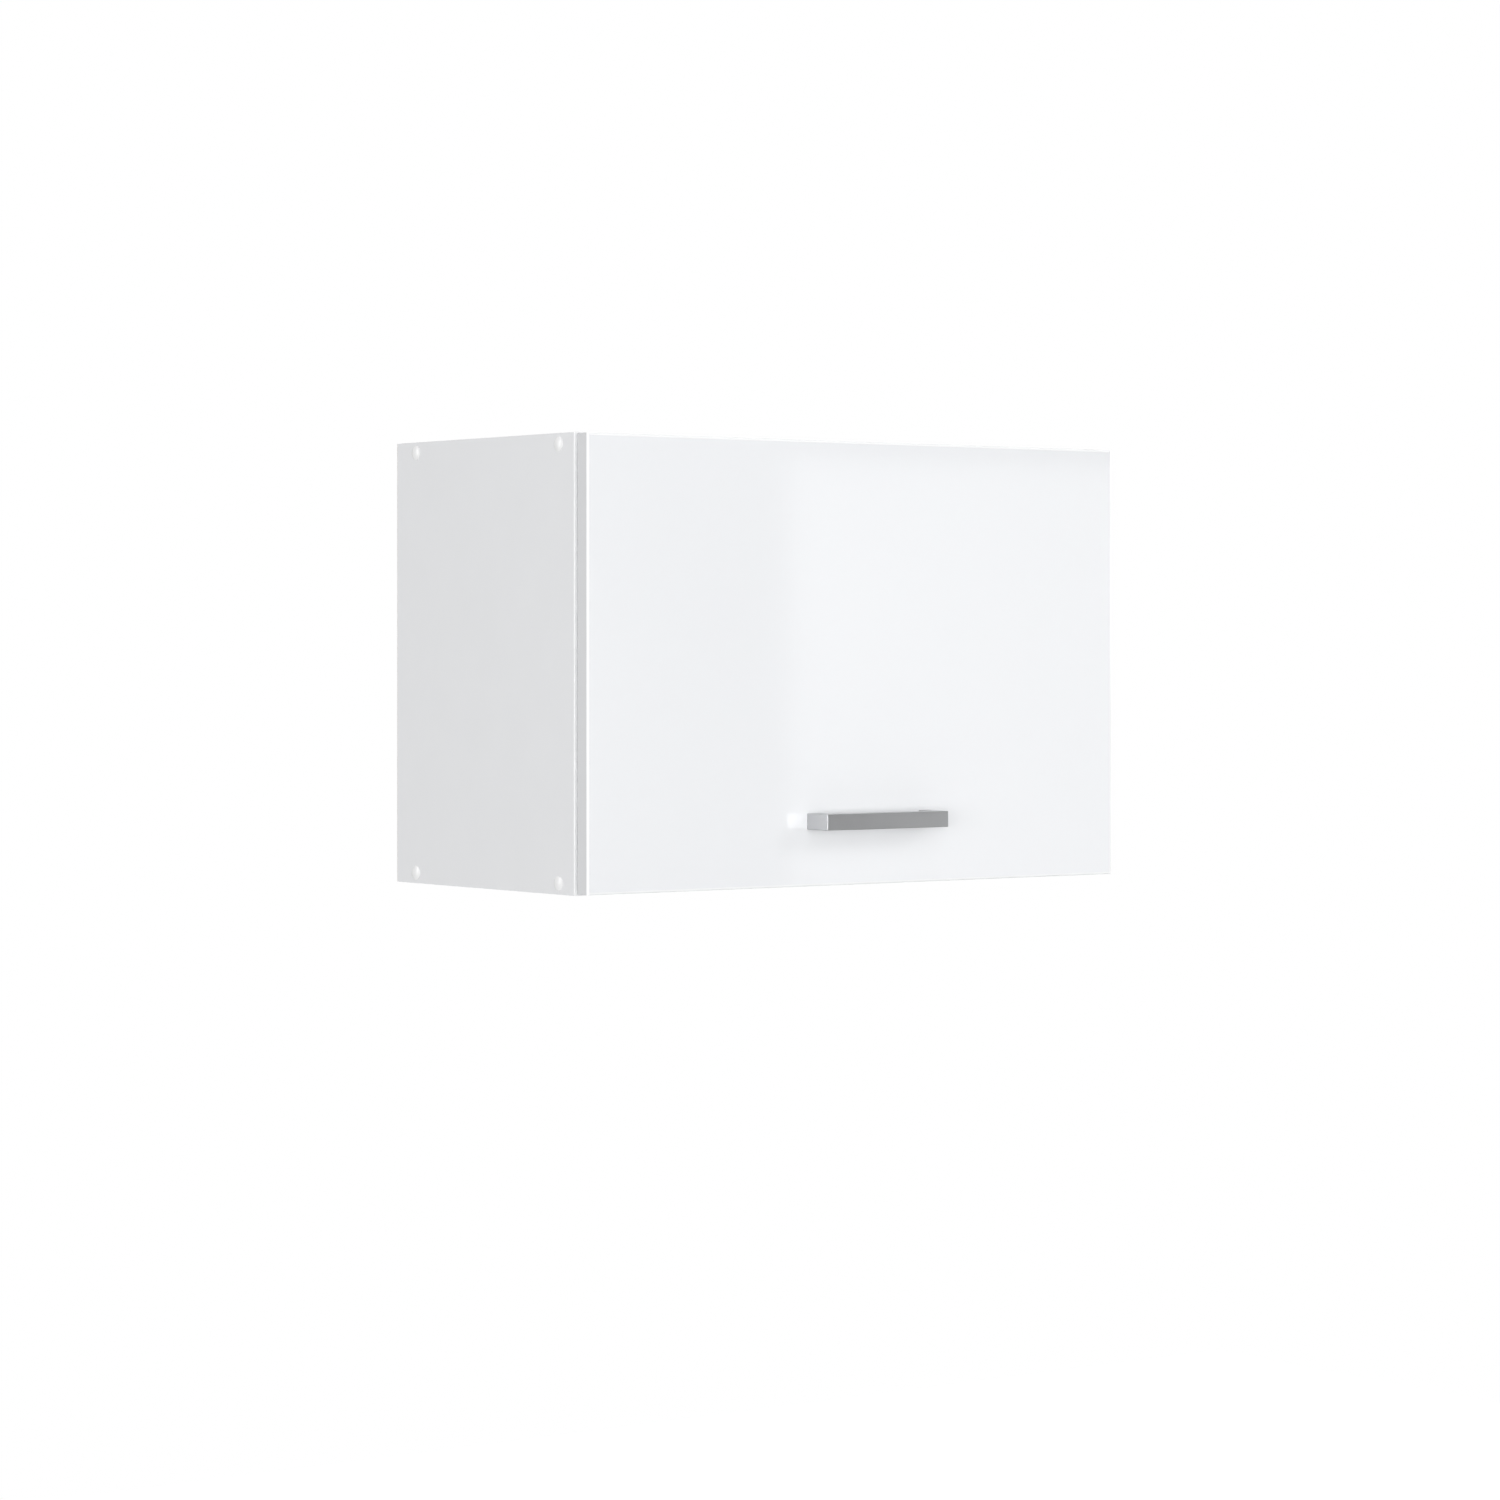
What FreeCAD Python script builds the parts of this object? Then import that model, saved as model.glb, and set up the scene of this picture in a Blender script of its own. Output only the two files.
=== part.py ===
import FreeCAD, Part
import Sketcher
import math
import os

# A white wall cabinet with one door that lifts about its top edge.
# Millimetres. X runs to the right, Y towards the wall, Z up.
# The origin is on the wall, at the centre of the four wall screws.

DIMENSIONS = {
    # Whole cabinet
    "carcass_width": 600.0,
    "carcass_height": 400.0,
    "carcass_depth": 286.0,
    "slip": 0.1,
    # Crosshead recesses of the small screws
    "recess_rim": 0.2,
    "recess_half_width": 0.45,
    "recess_depth": 1.4,
    # Boards
    "board_thickness": 19.0,
    "band_thickness": 1.0,
    "band_round": 0.6,
    "back_thickness": 3.0,
    "back_setback": 16.0,
    "groove_depth": 8.0,
    "back_end_play": 0.5,
    # Connecting screws, caps and dowels
    "rear_screw_inset": 32.0,
    "front_screw_inset": 24.0,
    "connector_length": 50.0,
    "connector_shank_radius": 3.5,
    "connector_thread_radius": 2.6,
    "connector_head_radius": 5.0,
    "connector_head_height": 3.5,
    "connector_socket_radius": 2.2,
    "connector_socket_depth": 2.5,
    "cap_radius": 6.6,
    "cap_height": 1.9,
    "cap_round": 1.5,
    "cap_stem_play": 0.3,
    "dowel_radius": 4.0,
    "dowel_length": 30.0,
    "dowel_side_depth": 12.0,
    # Door
    "door_thickness": 16.0,
    "door_gap": 2.0,
    "door_side_reveal": 1.5,
    "door_end_reveal": 1.0,
    "door_band_thickness": 2.0,
    "door_band_round": 1.5,
    "door_opening_angle": 90.0,
    "axis_above_cup_floor": 0.5,
    "axis_drop": 7.0,
    "bumper_radius": 4.0,
    "bumper_height": 30.0,
    # Handle
    "handle_hole_pitch": 128.0,
    "handle_leg_width": 10.0,
    "handle_projection": 30.0,
    "handle_bar_depth": 9.0,
    "handle_height": 14.5,
    "handle_centre_height": 59.0,
    "handle_side_offset": 8.0,
    "handle_edge_round": 0.8,
    "handle_inner_round": 3.0,
    "handle_screw_radius": 2.0,
    "handle_screw_bite": 9.0,
    "handle_screw_head_radius": 4.0,
    "handle_screw_head_height": 2.2,
    # Cup hinges
    "hinge_side_inset": 110.0,
    "cup_wall_above_axis": 2.4,
    "cup_radius": 17.4,
    "cup_wall": 0.6,
    "cup_depth": 12.5,
    "cup_rim_width": 1.6,
    "cup_flange_thickness": 1.0,
    "cup_wing_offset": 6.6,
    "cup_wing_drop": 6.0,
    "cup_wing_radius": 6.5,
    "cup_screw_radius": 1.75,
    "cup_screw_length": 12.0,
    "hinge_screw_head_radius": 3.5,
    "hinge_screw_head_height": 1.2,
    "cup_ear_reach": 9.0,
    "cup_ear_height": 8.0,
    "hinge_half_width": 6.6,
    "hinge_ear_thickness": 1.2,
    "hinge_link_play": 0.3,
    "outer_link_arm": 6.0,
    "outer_link_angle": 24.0,
    "outer_link_base": 22.0,
    "outer_link_elbow_along": 10.6,
    "outer_link_elbow_out": 4.5,
    "outer_link_slot": 2.4,
    "inner_link_arm": 7.5,
    "inner_link_angle": 34.0,
    "inner_link_base": 19.0,
    "inner_link_elbow_along": 6.2,
    "inner_link_elbow_out": 1.2,
    "inner_link_slot": 3.3,
    "link_half_width": 1.5,
    "link_base_eye": 2.2,
    "link_tip_rim": 0.5,
    "link_pin_radius": 0.8,
    "link_tip_play": 0.6,
    "base_pin_radius": 1.1,
    "running_play": 0.06,
    "arm_wall": 1.2,
    "arm_height": 13.0,
    "arm_rear_inset": 66.0,
    "arm_front_inset": 10.0,
    "arm_nose_radius": 2.6,
    "arm_screw_radius": 2.5,
    "arm_screw_head_radius": 3.8,
    "arm_screw_head_height": 2.0,
    "arm_fixing_inset": 50.0,
    "arm_adjusting_inset": 28.0,
    "plate_front_inset": 20.0,
    "plate_rear_inset": 62.0,
    "plate_thickness": 4.0,
    "plate_screw_inset": 37.0,
    "plate_wing_reach": 16.0,
    "plate_wing_radius": 6.5,
    "plate_wing_thickness": 2.0,
    "plate_screw_length": 14.0,
    # Spring stays
    "stay_pivot_back": 40.0,
    "stay_pivot_drop": 30.0,
    "stay_arm_drop": 110.0,
    "stay_room_front": 5.8,
    "stay_room_above": 2.3,
    "stay_room_below": 11.3,
    "stay_housing_length": 112.0,
    "stay_housing_thickness": 16.0,
    "stay_housing_wall": 2.0,
    "stay_housing_round": 6.0,
    "stay_cover_thickness": 2.0,
    "stay_axle_radius": 6.0,
    "stay_hub_radius": 9.0,
    "stay_axle_play": 0.3,
    "stay_spring_play": 1.8,
    "stay_spring_wire": 1.2,
    "stay_spring_gap": 0.5,
    "stay_arm_half_width": 6.5,
    "stay_arm_thickness": 3.5,
    "stay_link_half_width": 5.0,
    "stay_link_thickness": 3.0,
    "stay_layer_gap": 0.4,
    "stay_pin_radius": 2.5,
    "stay_pin_play": 0.08,
    "stay_open_pivot_play": 0.3,
    "stay_screw_radius": 2.0,
    "stay_screw_length": 14.0,
    "stay_screw_head_radius": 3.8,
    "stay_screw_head_height": 2.0,
    "stay_screw_margin": 9.0,
    "bracket_link_clearance": 1.0,
    "bracket_height": 44.0,
    "bracket_width": 17.0,
    "bracket_base_thickness": 2.0,
    "bracket_ear_thickness": 2.5,
    "bracket_ear_radius": 5.0,
    "bracket_screw_spread": 15.0,
    "bracket_screw_side": 6.0,
    # Hangers and wall plates
    "wall_screw_spacing_z": 32.0,
    "wall_hole_radius": 2.75,
    "wall_plate_width": 44.0,
    "wall_plate_side_gap": 3.0,
    "wall_plate_thickness": 2.0,
    "wall_plate_upper_margin": 3.25,
    "wall_plate_lower_margin": 11.25,
    "wall_plate_step_out": 6.0,
    "wall_plate_lip_rise": 10.5,
    "hanger_width": 37.0,
    "hanger_depth": 20.0,
    "hanger_roof": 7.0,
    "hanger_top_play": 2.0,
    "hanger_round": 3.0,
    "hanger_screw_radius": 3.5,
    "hanger_screw_length": 13.0,
    "hanger_screw_recess_reach": 2.2,
    "hanger_screw_sink": 0.8,
    "hanger_screw_below_hook": 6.5,
    "hanger_screw_spacing": 28.0,
    "hanger_fixing_drop": 11.0,
    "hanger_fixing_radius": 2.0,
    "hanger_fixing_length": 12.0,
    "hanger_fixing_head_radius": 3.6,
    "hanger_fixing_head_height": 2.2,
    "hanger_fixing_margin": 5.0,
    "hook_side_inset": 20.0,
    "hook_width": 16.0,
    "hook_thickness": 2.5,
    "hook_tip_clearance": 0.5,
    "hook_inner_reach": 12.0,
    "hook_window_margin": 5.0,
}

doc = FreeCAD.newDocument("WallCabinet")
sheet = doc.addObject("Spreadsheet::Sheet", "Dims")


class Size:
    """A size bound to the sheet: the text of its expression and its present number."""

    def __init__(self, text, number):
        self.text = text
        self.number = number

    def __add__(self, other):
        other = as_size(other)
        return Size(f"({self.text} + {other.text})", self.number + other.number)

    def __sub__(self, other):
        other = as_size(other)
        return Size(f"({self.text} - {other.text})", self.number - other.number)

    def __mul__(self, factor):
        factor = as_size(factor)
        return Size(f"({self.text} * {factor.text})", self.number * factor.number)

    def __truediv__(self, divisor):
        divisor = as_size(divisor)
        return Size(f"({self.text} / {divisor.text})", self.number / divisor.number)

    def __neg__(self):
        return Size(f"(-{self.text})", -self.number)

    __rmul__ = __mul__


def as_size(value):
    if isinstance(value, Size):
        return value
    return Size(f"({value})", float(value))


def cosine(angle):
    return Size(f"cos({angle.text})", math.cos(math.radians(angle.number)))


def sine(angle):
    return Size(f"sin({angle.text})", math.sin(math.radians(angle.number)))


def length_of(across, along):
    text = f"sqrt({across.text} * {across.text} + {along.text} * {along.text})"
    return Size(text, math.hypot(across.number, along.number))


def leg_of(longest, leg):
    text = f"sqrt({longest.text} * {longest.text} - {leg.text} * {leg.text})"
    return Size(text, math.sqrt(longest.number ** 2 - leg.number ** 2))


def fill_sheet():
    for row, (name, number) in enumerate(DIMENSIONS.items(), start=1):
        sheet.set(f"A{row}", name)
        sheet.set(f"B{row}", str(number))
        sheet.setAlias(f"B{row}", name)
    doc.recompute()


def dim(name):
    return Size(f"Dims.{name}", DIMENSIONS[name])


ZERO = as_size(0)

# Sub-parts

subparts = []


def new_body(label, x=ZERO, y=ZERO, z=ZERO):
    owner = doc.addObject("PartDesign::Body", label)
    owner.Label = label
    for axis, place in (("x", x), ("y", y), ("z", z)):
        owner.setExpression(f"Placement.Base.{axis}", as_size(place).text)
    subparts.append(owner)
    return owner


# Sketch planes: the role of the origin plane and the sign of its normal along the row axis.
PLANES = {"X": ("YZ_Plane", 1), "Y": ("XZ_Plane", -1), "Z": ("XY_Plane", 1)}


def in_order(one, other):
    return sorted((as_size(one), as_size(other)), key=lambda size: size.number)


def new_sketch(owner, axis, start, finish):
    """A sketch square to an axis, at the end of a span from which the feature grows."""
    role, sign = PLANES[axis]
    low, high = in_order(start, finish)
    base = low if sign > 0 else -high
    plane = next(item for item in owner.Origin.OriginFeatures if item.Role == role)
    sketch = owner.newObject("Sketcher::SketchObject", f"{owner.Name}_sketch")
    sketch.AttachmentSupport = [(plane, "")]
    sketch.MapMode = "FlatFace"
    sketch.setExpression("AttachmentOffset.Base.z", base.text)
    return sketch, high - low


def pin_down(sketch, geometry, point, place):
    """Fixes a sketch point at two bound distances from the sketch's origin."""
    for kind, distance in zip(("DistanceX", "DistanceY"), place):
        constraint = Sketcher.Constraint(kind, -1, 1, geometry, point, distance.number)
        index = sketch.addConstraint(constraint)
        sketch.setExpression(f"Constraints[{index}]", distance.text)


def draw_polygon(sketch, corners):
    corners = [(as_size(across), as_size(up)) for across, up in corners]
    first = sketch.GeometryCount
    count = len(corners)
    for index in range(count):
        begin, end = corners[index], corners[(index + 1) % count]
        sketch.addGeometry(Part.LineSegment(
            FreeCAD.Vector(begin[0].number, begin[1].number, 0),
            FreeCAD.Vector(end[0].number, end[1].number, 0)))
    for index in range(count):
        following = first + (index + 1) % count
        sketch.addConstraint(Sketcher.Constraint("Coincident", first + index, 2, following, 1))
    for index in range(count):
        pin_down(sketch, first + index, 1, corners[index])


def draw_circle(sketch, centre, radius):
    centre = (as_size(centre[0]), as_size(centre[1]))
    middle = FreeCAD.Vector(centre[0].number, centre[1].number, 0)
    geometry = sketch.addGeometry(Part.Circle(middle, FreeCAD.Vector(0, 0, 1), radius.number))
    pin_down(sketch, geometry, 3, centre)
    index = sketch.addConstraint(Sketcher.Constraint("Radius", geometry, radius.number))
    sketch.setExpression(f"Constraints[{index}]", radius.text)


def draw_bar(sketch, begin, end, radius):
    """A bar with straight sides along the line from begin to end, square at both ends."""
    across, up = end[0] - begin[0], end[1] - begin[1]
    reach = length_of(across, up)
    side = (-up * radius / reach, across * radius / reach)
    draw_polygon(sketch, [
        (begin[0] + side[0], begin[1] + side[1]),
        (begin[0] - side[0], begin[1] - side[1]),
        (end[0] - side[0], end[1] - side[1]),
        (end[0] + side[0], end[1] + side[1])])


def grow(owner, sketch, depth, kind):
    """Pads or pockets a sketch towards the positive side of its span and checks the result."""
    doc.recompute()
    before = owner.Shape.Volume if owner.Tip else 0.0
    feature = owner.newObject(f"PartDesign::{kind}", f"{owner.Name}_{kind}")
    feature.Profile = sketch
    feature.setExpression("Length", depth.text)
    feature.Reversed = kind == "Pocket"
    doc.recompute()
    change = owner.Shape.Volume - before
    if (change <= 0) != (kind == "Pocket") or abs(change) < 1e-9:
        raise RuntimeError(f"{owner.Label}: {feature.Name} changed the volume by {change}")
    return feature


def block(owner, xs, ys, zs, kind="Pad"):
    sketch, depth = new_sketch(owner, "Z", zs[0], zs[1])
    draw_polygon(sketch, [(xs[0], ys[0]), (xs[1], ys[0]), (xs[1], ys[1]), (xs[0], ys[1])])
    return grow(owner, sketch, depth, kind)


def rounds(owner, axis, centres, radius, span, kind="Pad"):
    """Round bosses or holes, all alike, along one axis."""
    sketch, depth = new_sketch(owner, axis, span[0], span[1])
    for centre in centres:
        draw_circle(sketch, centre, radius)
    return grow(owner, sketch, depth, kind)


def prism(owner, axis, corners, span, kind="Pad"):
    sketch, depth = new_sketch(owner, axis, span[0], span[1])
    draw_polygon(sketch, corners)
    return grow(owner, sketch, depth, kind)


def strip(owner, axis, path, radius, span, kind="Pad"):
    """A flat strip with round ends along a path of points."""
    path = [(as_size(across), as_size(up)) for across, up in path]
    for begin, end in zip(path, path[1:]):
        sketch, depth = new_sketch(owner, axis, span[0], span[1])
        draw_bar(sketch, begin, end, radius)
        grow(owner, sketch, depth, kind)
    for centre in path:
        sketch, depth = new_sketch(owner, axis, span[0], span[1])
        draw_circle(sketch, centre, radius)
        grow(owner, sketch, depth, kind)


def round_edges(owner, radius, wanted):
    """Rounds the edges that a test picks out, told by their places in the body's own frame."""
    doc.recompute()
    tip = owner.Tip
    names = [f"Edge{number}" for number, edge in enumerate(tip.Shape.Edges, start=1) if wanted(edge)]
    if not names:
        raise RuntimeError(f"{owner.Label}: no edge to round")
    fillet = owner.newObject("PartDesign::Fillet", f"{owner.Name}_round")
    fillet.Base = (tip, names)
    fillet.setExpression("Radius", radius.text)
    doc.recompute()
    return fillet


def runs_along(edge, axis):
    """True for a straight edge along a local axis: 0 is X, 1 is Y, 2 is Z."""
    ends = edge.Vertexes
    run = ends[-1].Point - ends[0].Point
    return abs(abs(run[axis]) - edge.Length) < 1e-6


def near(number, size):
    return abs(number - as_size(size).number) < 1e-4


def screw_heads(owner, axis, places, radius, seat, face):
    """Screw heads from their seats to their faces, with the faces' rims rounded."""
    rounds(owner, axis, places, radius, (seat, face))
    low, high = in_order(seat, face)
    index = "XYZ".index(axis)
    round_edges(owner, (high - low) / 2, lambda edge: near(edge.CenterOfMass[index], face))


def cross_recesses(owner, axis, places, reach, face, floor):
    """A crosshead recess for each screw, from its face down to a floor."""
    half = dim("recess_half_width")
    sketch, depth = new_sketch(owner, axis, floor, face)
    for across, up in places:
        corners = []
        arm = [(reach, -half), (reach, half), (half, half)]
        for _ in range(4):
            corners += [(across + to_side, up + to_top) for to_side, to_top in arm]
            arm = [(-to_top, to_side) for to_side, to_top in arm]
        draw_polygon(sketch, corners)
    grow(owner, sketch, depth, "Pocket")


fill_sheet()

# Planes and places that many pieces share

width = dim("carcass_width")
height = dim("carcass_height")
depth = dim("carcass_depth")
board = dim("board_thickness")
band = dim("band_thickness")
slip = dim("slip")
step_height = (dim("wall_screw_spacing_z") / 2 + dim("wall_hole_radius")
               + dim("wall_plate_upper_margin") + dim("wall_plate_thickness"))
hook_low = step_height + dim("wall_plate_lip_rise")
hook_high = hook_low + dim("hook_thickness")
hanger_top = hook_high + dim("hanger_roof")
under_top = hanger_top + dim("hanger_top_play")
top = under_top + board
bottom = top - height
front = -depth
inner_half = width / 2 - board
SIDES = (("left", -1), ("right", 1))

door_back = front - dim("door_gap")
door_face = door_back - dim("door_thickness")
door_half = width / 2 - dim("door_side_reveal")
door_top = top - dim("door_end_reveal")
door_bottom = bottom + dim("door_end_reveal")
axis_forward = dim("door_gap") + dim("cup_depth") - dim("axis_above_cup_floor")
axis_y = front - axis_forward
axis_z = top - dim("axis_drop")

back_front = -(dim("back_setback") + dim("back_thickness") + slip * 2)
screw_depths = (-dim("rear_screw_inset"), -(depth - dim("front_screw_inset")))
dowel_depth = -depth / 2

# Where the carcass hardware sits

hinge_x = width / 2 - dim("hinge_side_inset")
door_back_y = door_back - axis_y
stay_pivot = (dim("stay_pivot_back"), -dim("stay_pivot_drop"))
stay_door_pin = (door_back_y + dim("bracket_base_thickness") + dim("stay_link_half_width")
                 + dim("bracket_link_clearance"), -dim("stay_arm_drop"))
stay_elbow = (stay_pivot[0] + stay_door_pin[0], stay_pivot[1] + stay_door_pin[1])
cover_face = inner_half - dim("stay_housing_thickness") - dim("stay_cover_thickness")
arm_outer = cover_face - dim("stay_layer_gap")
arm_inner = arm_outer - dim("stay_arm_thickness")
link_outer = arm_inner - dim("stay_layer_gap")
link_inner = link_outer - dim("stay_link_thickness")
ear_outer = link_inner - dim("stay_layer_gap")
ear_inner = ear_outer - dim("bracket_ear_thickness")


spring_radius = dim("stay_axle_radius") + dim("stay_spring_play") + dim("stay_spring_wire")


def stay_box():
    """The stay housing's near, far, low and high faces, from the door's axis."""
    spring_room = spring_radius + dim("stay_spring_wire") + dim("stay_housing_wall")
    near_y = stay_pivot[0] - spring_room - dim("stay_room_front")
    far_y = near_y + dim("stay_housing_length")
    high = stay_pivot[1] + spring_room + dim("stay_room_above")
    low = stay_pivot[1] - spring_room - dim("stay_room_below")
    return near_y, far_y, low, high


def stay_screw_places():
    """Screw places of a stay housing, from the door's axis: along Y, then Z."""
    margin = dim("stay_screw_margin")
    _, far_y, low, high = stay_box()
    middle = stay_pivot[0] + (far_y - stay_pivot[0]) / 2
    return [(far_y - margin, high - margin), (far_y - margin, low + margin), (middle, low + margin)]


# Carcass boards

def make_side_panel(name, sign):
    owner = new_body(f"side_panel_{name}", x=width / 2 * sign, z=bottom)
    inner = -board * sign
    block(owner, (ZERO, inner), (-(depth - band), ZERO), (ZERO, height))
    block(owner, (inner + dim("groove_depth") * sign, inner), (back_front, -dim("back_setback")),
          (ZERO, height), kind="Pocket")
    places = [(y, z) for y in screw_depths for z in (board / 2, height - board / 2)]
    rounds(owner, "X", places, dim("connector_shank_radius") + slip, (inner, ZERO), kind="Pocket")
    rounds(owner, "X", places, dim("connector_head_radius") + slip,
           (-(dim("connector_head_height") + slip) * sign, ZERO), kind="Pocket")
    dowels = [(dowel_depth, board / 2), (dowel_depth, height - board / 2)]
    rounds(owner, "X", dowels, dim("dowel_radius") + slip / 2,
           (inner + dim("dowel_side_depth") * sign, inner), kind="Pocket")
    stay_holes = [(axis_y + y, axis_z - bottom + z) for y, z in stay_screw_places()]
    rounds(owner, "X", stay_holes, dim("stay_screw_radius") + slip / 2,
           (inner + stay_screw_bite() * sign, inner), kind="Pocket")
    hanger_holes = [(y, z - bottom) for y, z in hanger_fixing_places()]
    rounds(owner, "X", hanger_holes, dim("hanger_fixing_radius") + slip / 2,
           (inner + (dim("hanger_fixing_length") + slip) * sign, inner), kind="Pocket")


def make_cross_panel(name, lower, groove):
    owner = new_body(f"{name}_panel", z=lower)
    block(owner, (-inner_half, inner_half), (-(depth - band), ZERO), (ZERO, board))
    block(owner, (-inner_half, inner_half), (back_front, -dim("back_setback")), groove,
          kind="Pocket")
    places = [(y, board / 2) for y in screw_depths]
    dowel_reach = dim("dowel_length") - dim("dowel_side_depth") + slip
    for _, sign in SIDES:
        end = inner_half * sign
        bite = dim("connector_length") - board + slip
        rounds(owner, "X", places, dim("connector_thread_radius") + slip / 2,
               (end - bite * sign, end), kind="Pocket")
        rounds(owner, "X", [(dowel_depth, board / 2)], dim("dowel_radius") + slip / 2,
               (end - dowel_reach * sign, end), kind="Pocket")
    return owner


def make_back_panel():
    reach = inner_half + dim("groove_depth") - dim("back_end_play")
    low = bottom + board - dim("groove_depth") + dim("back_end_play")
    high = under_top + dim("groove_depth") - dim("back_end_play")
    rear = -(dim("back_setback") + slip)
    owner = new_body("back_panel", y=rear)
    block(owner, (-reach, reach), (-dim("back_thickness"), ZERO), (low, high))
    margin = dim("hook_window_margin")
    for _, sign in SIDES:
        near_side = hook_centre - dim("hook_width") / 2 - margin
        far_side = hook_centre + dim("hook_width") / 2 + margin
        block(owner, (near_side * sign, far_side * sign), (-dim("back_thickness"), ZERO),
              (hook_low - margin, hook_high + margin), kind="Pocket")


def make_edge_band(label, xs, zs, along):
    """A thin band on a board's front edge, with its long outer edges rounded."""
    owner = new_body(label, y=front)
    block(owner, xs, (ZERO, band), zs)
    round_edges(owner, dim("band_round"),
                lambda edge: runs_along(edge, along) and near(edge.CenterOfMass.y, ZERO))


def make_carcass():
    for name, sign in SIDES:
        make_side_panel(name, sign)
    top_panel = make_cross_panel("top", under_top, (ZERO, dim("groove_depth")))
    make_cross_panel("bottom", bottom, (board - dim("groove_depth"), board))
    plate_holes = [((hinge_x + dim("plate_wing_reach") * way) * sign, plate_screw_y)
                   for _, sign in SIDES for way in (-1, 1)]
    rounds(top_panel, "Z", plate_holes, dim("cup_screw_radius") + slip / 2,
           (ZERO, plate_screw_bite), kind="Pocket")
    make_back_panel()
    for name, sign in SIDES:
        make_edge_band(f"side_edge_band_{name}", (width / 2 * sign, inner_half * sign),
                       (bottom, top), 2)
    make_edge_band("top_edge_band", (-inner_half, inner_half), (under_top, top), 0)
    make_edge_band("bottom_edge_band", (-inner_half, inner_half), (bottom, bottom + board), 0)


def connector_places():
    return [(y, z) for y in screw_depths for z in (bottom + board / 2, top - board / 2)]


def make_connectors():
    """Eight connecting screws with sunk heads and hex-size sockets, from both sides."""
    owner = new_body("connecting_screws")
    places = connector_places()
    sink = width / 2 - slip
    for _, sign in SIDES:
        neck = sink - dim("connector_head_height")
        tip = sink - dim("connector_length")
        rounds(owner, "X", places, dim("connector_head_radius"), (neck * sign, sink * sign))
        rounds(owner, "X", places, dim("connector_shank_radius"), (inner_half * sign, neck * sign))
        rounds(owner, "X", places, dim("connector_thread_radius"), (tip * sign, inner_half * sign))
        floor = sink - dim("connector_socket_depth")
        rounds(owner, "X", places, dim("connector_socket_radius"), (floor * sign, sink * sign),
               kind="Pocket")


def make_caps():
    """Domed plastic caps that hide the screw heads."""
    owner = new_body("screw_cover_caps")
    places = connector_places()
    for _, sign in SIDES:
        face = width / 2
        rounds(owner, "X", places, dim("cap_radius"), (face * sign, (face + dim("cap_height")) * sign))
    crown = width / 2 + dim("cap_height")
    round_edges(owner, dim("cap_round"),
                lambda edge: near(abs(edge.CenterOfMass.x), crown))
    stem_radius = dim("connector_socket_radius") - dim("cap_stem_play")
    for _, sign in SIDES:
        root = width / 2 - slip - dim("connector_socket_depth") + dim("cap_stem_play")
        rounds(owner, "X", places, stem_radius, (root * sign, width / 2 * sign))


def make_dowels():
    owner = new_body("wood_dowels")
    places = [(dowel_depth, bottom + board / 2), (dowel_depth, top - board / 2)]
    for _, sign in SIDES:
        outer = inner_half + dim("dowel_side_depth") - slip
        inner = outer - dim("dowel_length") + slip
        rounds(owner, "X", places, dim("dowel_radius"), (inner * sign, outer * sign))


def make_bumpers():
    """Soft pads on the lower front corners that the door closes against."""
    owner = new_body("door_bumpers", y=front)
    places = [((width / 2 - board / 2) * sign, bottom + dim("bumper_height")) for _, sign in SIDES]
    rounds(owner, "Y", places, dim("bumper_radius"), (-(dim("door_gap") - slip), ZERO))


# Hangers and wall plates

hook_centre = inner_half - dim("hook_side_inset")
hanger_front = back_front - dim("hanger_depth")
hanger_screw_x = inner_half - dim("hanger_width") / 2
upper_screw_z = hook_low - dim("hanger_screw_below_hook")
lower_screw_z = upper_screw_z - dim("hanger_screw_spacing")
hanger_screw_z = (upper_screw_z, lower_screw_z)
lowest_fixing_z = lower_screw_z - dim("hanger_fixing_drop")
hanger_bottom = lowest_fixing_z - dim("hanger_fixing_margin")


def hanger_fixing_places():
    """The two screws through each hanger into the side panel: Y, then Z."""
    middle = back_front - dim("hanger_depth") / 2
    return [(middle, lowest_fixing_z), (middle, (upper_screw_z + lower_screw_z) / 2)]


def make_hanger(name, sign):
    owner = new_body(f"hanger_housing_{name}")
    inner = inner_half - dim("hanger_width")
    block(owner, (inner * sign, inner_half * sign), (hanger_front, back_front),
          (hanger_bottom, hanger_top))
    round_edges(owner, dim("hanger_round"),
                lambda edge: runs_along(edge, 2) and near(edge.CenterOfMass.y, hanger_front))
    slot_half = dim("hook_width") / 2 + slip
    slot_front = back_front - dim("hook_inner_reach") - slip
    block(owner, ((hook_centre - slot_half) * sign, (hook_centre + slot_half) * sign),
          (slot_front, back_front), (hook_low - slip, hook_high + slip), kind="Pocket")
    places = [(hanger_screw_x * sign, z) for z in hanger_screw_z]
    bore_end = hanger_front + dim("hanger_screw_sink") + dim("hanger_screw_length")
    rounds(owner, "Y", places, dim("hanger_screw_radius") + slip, (hanger_front, bore_end),
           kind="Pocket")
    fixing_head = inner + dim("hanger_fixing_head_height") + slip
    rounds(owner, "X", hanger_fixing_places(), dim("hanger_fixing_radius") + slip / 2,
           (inner * sign, inner_half * sign), kind="Pocket")
    rounds(owner, "X", hanger_fixing_places(), dim("hanger_fixing_head_radius") + slip,
           (inner * sign, fixing_head * sign), kind="Pocket")


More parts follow.
